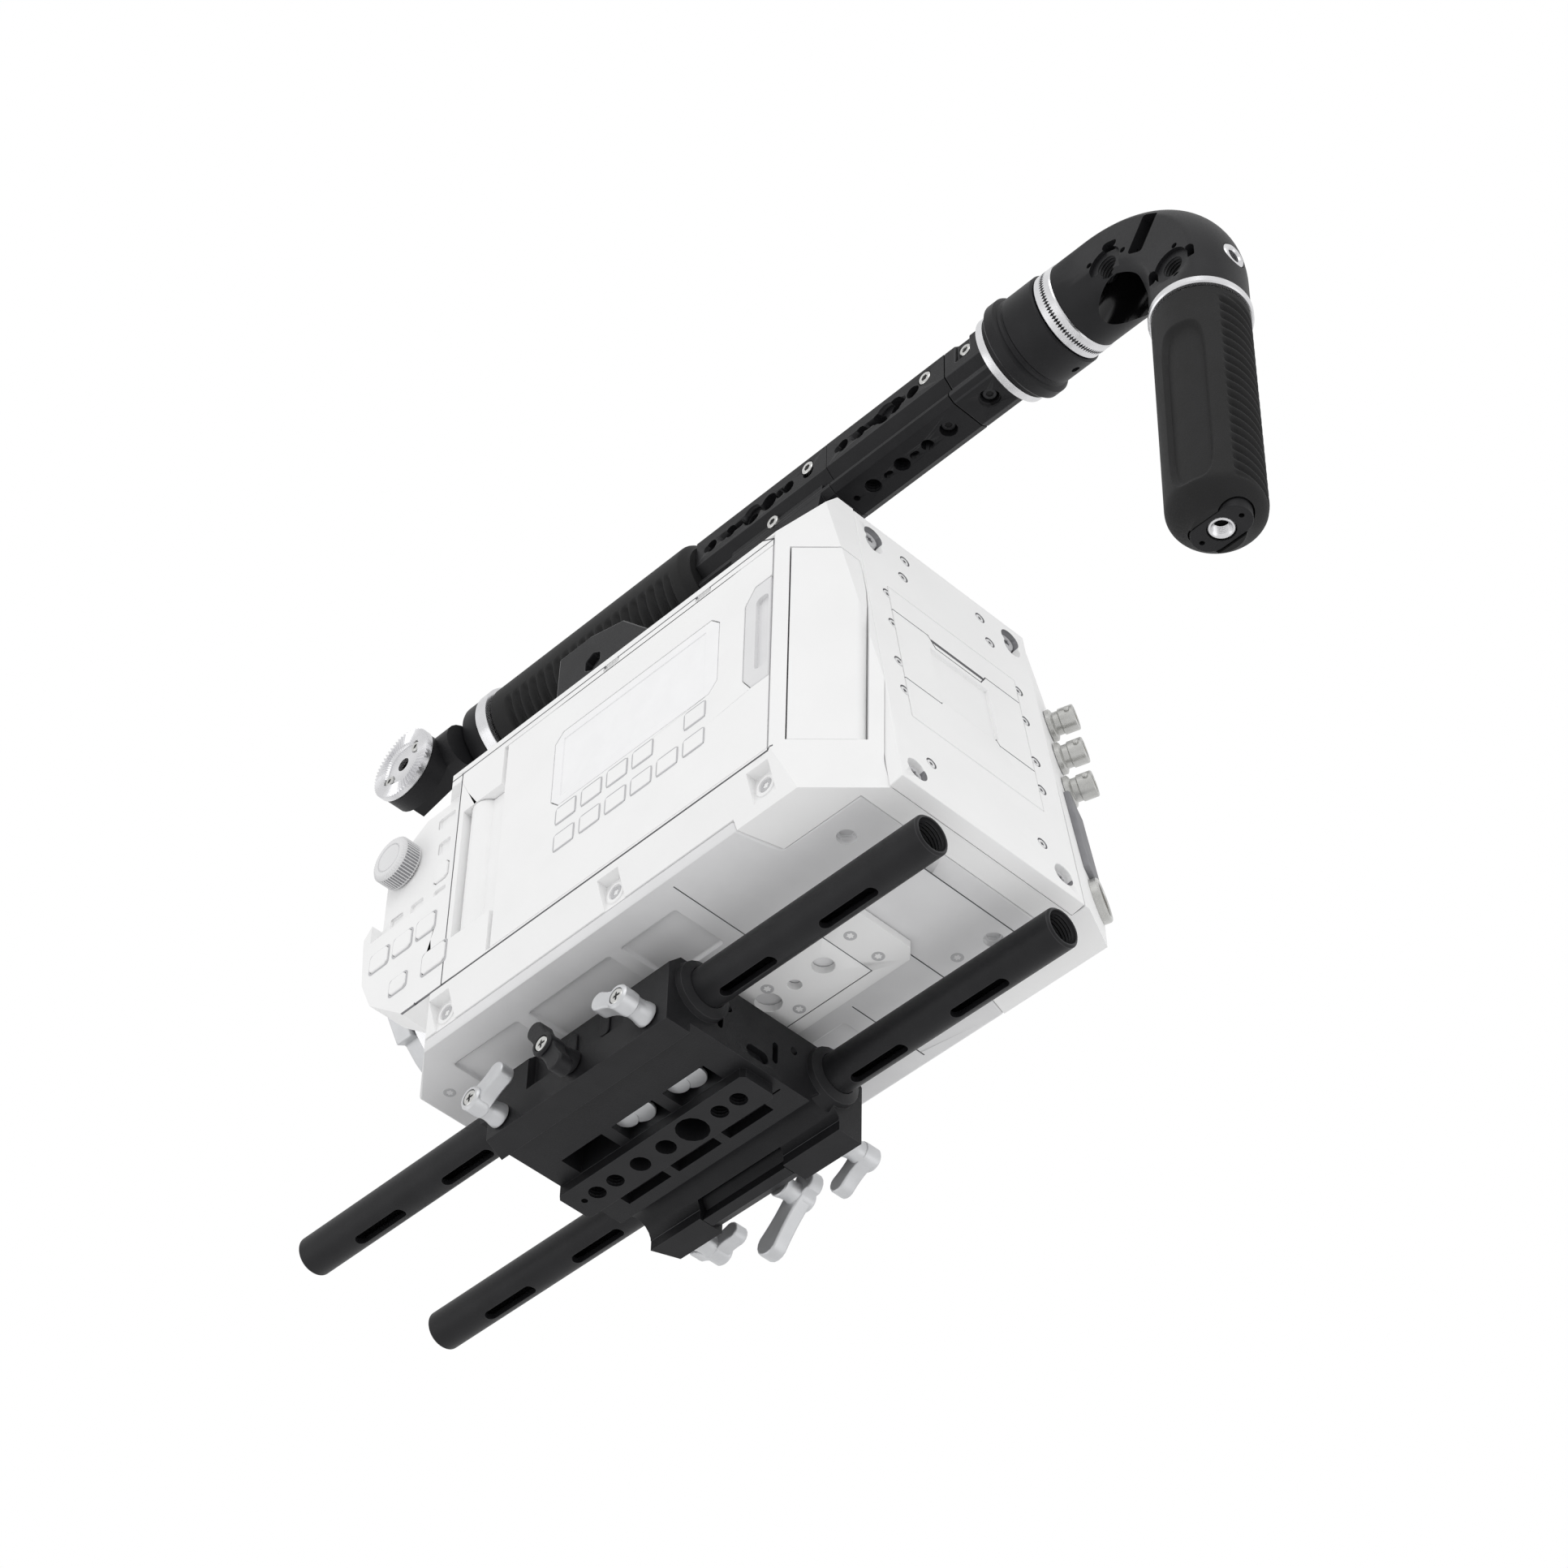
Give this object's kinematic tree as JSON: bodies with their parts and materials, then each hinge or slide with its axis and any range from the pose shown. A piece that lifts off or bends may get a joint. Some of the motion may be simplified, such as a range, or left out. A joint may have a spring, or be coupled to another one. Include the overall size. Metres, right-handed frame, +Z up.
{
  "type": "cinema camera rig",
  "caption": "Digital cinema camera on a rod base plate with clamp levers, a railed top handle with a side rosette, and a rear handgrip on a toothed swivel joint.",
  "frame": {"origin": "on the underside of the base plate's centre bar, midway between its two plain holes", "axes": "+Z up, -Y the way the lens looks, +X the operator's side with the display door"},
  "size_m": [0.1445, 0.4221, 0.3106],
  "materials": {
    "black_anodised": "matte anodised",
    "body_cap_plastic": "matte",
    "silver_lever": "satin",
    "bright_ring": "satin",
    "grip_rubber": "matte",
    "white_shell": "matte",
    "grey_trim": "matte",
    "key_plastic": "matte",
    "display_window": "gloss",
    "connector_metal": "polished",
    "circuit_board": "matte",
    "heat_sink_metal": "satin",
    "fan_plastic": "matte"
  },
  "bodies": {
    "camera": {"base_plate": "black_anodised", "camera_plate": "black_anodised", "body_shell": "white_shell", "bottom_cover": "grey_trim", "bottom_mount_plate": "white_shell", "battery_plate": "white_shell", "battery_insert": "grey_trim", "lens_flange": "bright_ring", "body_cap": "body_cap_plastic", "port_panel": "grey_trim", "power_port": "connector_metal", "bnc_1": "connector_metal", "bnc_2": "connector_metal", "bnc_3": "connector_metal", "hinge_pin": "bright_ring", "sensor_block": "circuit_board", "main_board": "circuit_board", "heat_sink": "heat_sink_metal", "top_plate": "black_anodised", "front_rail": "black_anodised", "rear_rail": "black_anodised", "end_block": "black_anodised", "front_grip": "grip_rubber", "front_ring": "bright_ring", "front_collar": "black_anodised", "rail_ring": "bright_ring", "flange_barrel": "black_anodised", "fixed_toothed_ring": "bright_ring"},
    "left_rod": {"rod_left": "black_anodised"},
    "right_rod": {"rod_right": "black_anodised"},
    "jaw": {"dovetail_jaw": "black_anodised"},
    "jaw_lever": {"dovetail_lever": "silver_lever"},
    "front_left_lever": {"rod_lever_front_left": "silver_lever"},
    "rear_left_lever": {"rod_lever_rear_left": "silver_lever"},
    "front_right_lever": {"rod_lever_front_right": "silver_lever"},
    "rear_right_lever": {"rod_lever_rear_right": "silver_lever"},
    "release_lever": {"camera_release_lever": "black_anodised"},
    "side_door": {"monitor_door": "white_shell", "door_latch": "grey_trim", "door_keymat": "key_plastic", "display": "display_window"},
    "card_door": {"media_door": "grey_trim"},
    "dial": {"menu_dial": "white_shell"},
    "lock_ring": {"lens_lock_ring": "grey_trim"},
    "fan": {"cooling_fan": "fan_plastic"},
    "arm": {"rosette_arm": "black_anodised", "rosette": "bright_ring"},
    "handgrip": {"moving_toothed_ring": "bright_ring", "elbow": "black_anodised", "grip_ring": "bright_ring", "rear_grip": "grip_rubber", "grip_end_cap": "black_anodised", "threaded_insert": "bright_ring"},
    "joint_lever": {"lock_lever": "silver_lever"},
    "key_f1_cap": {"key_f1": "key_plastic"},
    "key_f2_cap": {"key_f2": "key_plastic"},
    "key_f3_cap": {"key_f3": "key_plastic"},
    "key_record_cap": {"key_record": "key_plastic"},
    "key_menu_cap": {"key_menu": "key_plastic"},
    "key_back_cap": {"key_back": "key_plastic"}
  },
  "joints": [
    {"name": "left_rod_slide", "type": "slide", "parent": "camera", "child": "left_rod", "axis": [0, 1, 0], "range_m": [-0.06, 0.06]},
    {"name": "right_rod_slide", "type": "slide", "parent": "camera", "child": "right_rod", "axis": [0, 1, 0], "range_m": [-0.06, 0.06]},
    {"name": "jaw_slide", "type": "slide", "parent": "camera", "child": "jaw", "axis": [-1, 0, 0], "range_m": [0, 0.003]},
    {"name": "jaw_lever_turn", "type": "hinge", "parent": "jaw", "child": "jaw_lever", "pos_m": [-0.05, 0.014, 0.006], "axis": [-1, 0, 0], "range_deg": [0, 110]},
    {"name": "front_left_lever_turn", "type": "hinge", "parent": "camera", "child": "front_left_lever", "pos_m": [0.05, -0.027, 0.006], "axis": [1, 0, 0], "range_deg": [-60, 60]},
    {"name": "rear_left_lever_turn", "type": "hinge", "parent": "camera", "child": "rear_left_lever", "pos_m": [0.05, 0.045, 0.006], "axis": [1, 0, 0], "range_deg": [-60, 60]},
    {"name": "front_right_lever_turn", "type": "hinge", "parent": "camera", "child": "front_right_lever", "pos_m": [-0.05, -0.027, 0.006], "axis": [-1, 0, 0], "range_deg": [-60, 60]},
    {"name": "rear_right_lever_turn", "type": "hinge", "parent": "camera", "child": "rear_right_lever", "pos_m": [-0.05, 0.045, 0.006], "axis": [-1, 0, 0], "range_deg": [-60, 60]},
    {"name": "release_lever_turn", "type": "hinge", "parent": "camera", "child": "release_lever", "pos_m": [0.05, 0.0085, 0.008], "axis": [1, 0, 0], "range_deg": [-45, 45]},
    {"name": "side_door_hinge", "type": "hinge", "parent": "camera", "child": "side_door", "pos_m": [0.062, -0.0264, 0.106], "axis": [0, 0, -1], "range_deg": [0, 100]},
    {"name": "card_door_hinge", "type": "hinge", "parent": "camera", "child": "card_door", "pos_m": [0.0466, 0.1424, 0.106], "axis": [0, 0, 1], "range_deg": [0, 80]},
    {"name": "dial_turn", "type": "hinge", "parent": "camera", "child": "dial", "pos_m": [0.066, -0.07, 0.136], "axis": [1, 0, 0], "continuous": true},
    {"name": "lock_ring_turn", "type": "hinge", "parent": "camera", "child": "lock_ring", "pos_m": [0, -0.1, 0.118], "axis": [0, -1, 0], "range_deg": [0, 60]},
    {"name": "fan_spin", "type": "hinge", "parent": "camera", "child": "fan", "pos_m": [0, 0.015, 0.118], "axis": [0, 1, 0], "continuous": true},
    {"name": "arm_swing", "type": "hinge", "parent": "camera", "child": "arm", "pos_m": [0, -0.107, 0.27], "axis": [0, 1, 0], "range_deg": [-40, 60]},
    {"name": "handgrip_swivel", "type": "hinge", "parent": "camera", "child": "handgrip", "pos_m": [0, 0.205, 0.27], "axis": [0, 1, 0], "range_deg": [-90, 90]},
    {"name": "joint_lever_turn", "type": "hinge", "parent": "camera", "child": "joint_lever", "pos_m": [0, 0.191, 0.29], "axis": [0, 0, 1], "range_deg": [-50, 50]},
    {"name": "key_f1_press", "type": "slide", "parent": "camera", "child": "key_f1_cap", "axis": [-1, 0, 0], "range_m": [0, 0.0007], "stiffness_N_per_m": 300},
    {"name": "key_f2_press", "type": "slide", "parent": "camera", "child": "key_f2_cap", "axis": [-1, 0, 0], "range_m": [0, 0.0007], "stiffness_N_per_m": 300},
    {"name": "key_f3_press", "type": "slide", "parent": "camera", "child": "key_f3_cap", "axis": [-1, 0, 0], "range_m": [0, 0.0007], "stiffness_N_per_m": 300},
    {"name": "key_record_press", "type": "slide", "parent": "camera", "child": "key_record_cap", "axis": [-1, 0, 0], "range_m": [0, 0.0007], "stiffness_N_per_m": 300},
    {"name": "key_menu_press", "type": "slide", "parent": "camera", "child": "key_menu_cap", "axis": [-1, 0, 0], "range_m": [0, 0.0007], "stiffness_N_per_m": 300},
    {"name": "key_back_press", "type": "slide", "parent": "camera", "child": "key_back_cap", "axis": [-1, 0, 0], "range_m": [0, 0.0007], "stiffness_N_per_m": 300}
  ],
  "couplings": [
    {"joint": "jaw_slide", "follows": "jaw_lever_turn", "m_per_rad": 0.0015611}
  ]
}
